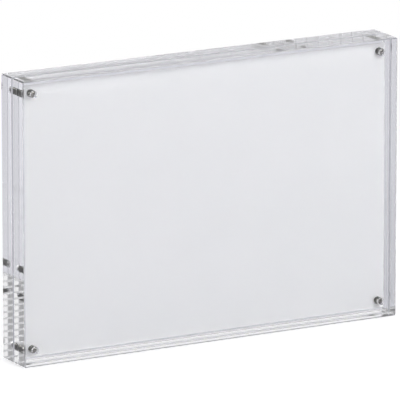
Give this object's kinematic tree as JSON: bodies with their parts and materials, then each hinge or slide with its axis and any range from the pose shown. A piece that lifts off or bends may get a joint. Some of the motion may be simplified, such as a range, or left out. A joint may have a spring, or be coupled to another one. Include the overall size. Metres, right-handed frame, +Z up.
{
  "type": "acrylic block frame",
  "caption": "Free-standing block frame: two clear acrylic panes pulled together by corner magnets, with a picture card between them.",
  "frame": {"origin": "on the surface that the block stands on, under the middle of the block", "axes": "+X along the long side, to the right as seen from the front; +Y from the front to the back; +Z up"},
  "size_m": [0.155, 0.0168, 0.105],
  "materials": {
    "clear_acrylic": "cast acrylic, all faces polished",
    "blank_card": "smooth matt card",
    "nickel_plating": "bright nickel plating",
    "clear_glue": "set clear adhesive"
  },
  "bodies": {
    "back_block": {"back_pane": "clear_acrylic", "back_magnet_top_left": "nickel_plating", "back_magnet_top_right": "nickel_plating", "back_magnet_bottom_left": "nickel_plating", "back_magnet_bottom_right": "nickel_plating", "back_glue_top_left": "clear_glue", "back_glue_top_right": "clear_glue", "back_glue_bottom_left": "clear_glue", "back_glue_bottom_right": "clear_glue"},
    "front_block": {"front_pane": "clear_acrylic", "front_magnet_top_left": "nickel_plating", "front_magnet_top_right": "nickel_plating", "front_magnet_bottom_left": "nickel_plating", "front_magnet_bottom_right": "nickel_plating", "front_glue_top_left": "clear_glue", "front_glue_top_right": "clear_glue", "front_glue_bottom_left": "clear_glue", "front_glue_bottom_right": "clear_glue"},
    "card": {"picture_card": "blank_card"}
  },
  "joints": [
    {"name": "front_pane_pull", "type": "slide", "parent": "back_block", "child": "front_block", "axis": [0, -1, 0], "range_m": [0, 0.06]},
    {"name": "card_lift", "type": "slide", "parent": "back_block", "child": "card", "axis": [0, 0, 1], "range_m": [0, 0.105]}
  ]
}
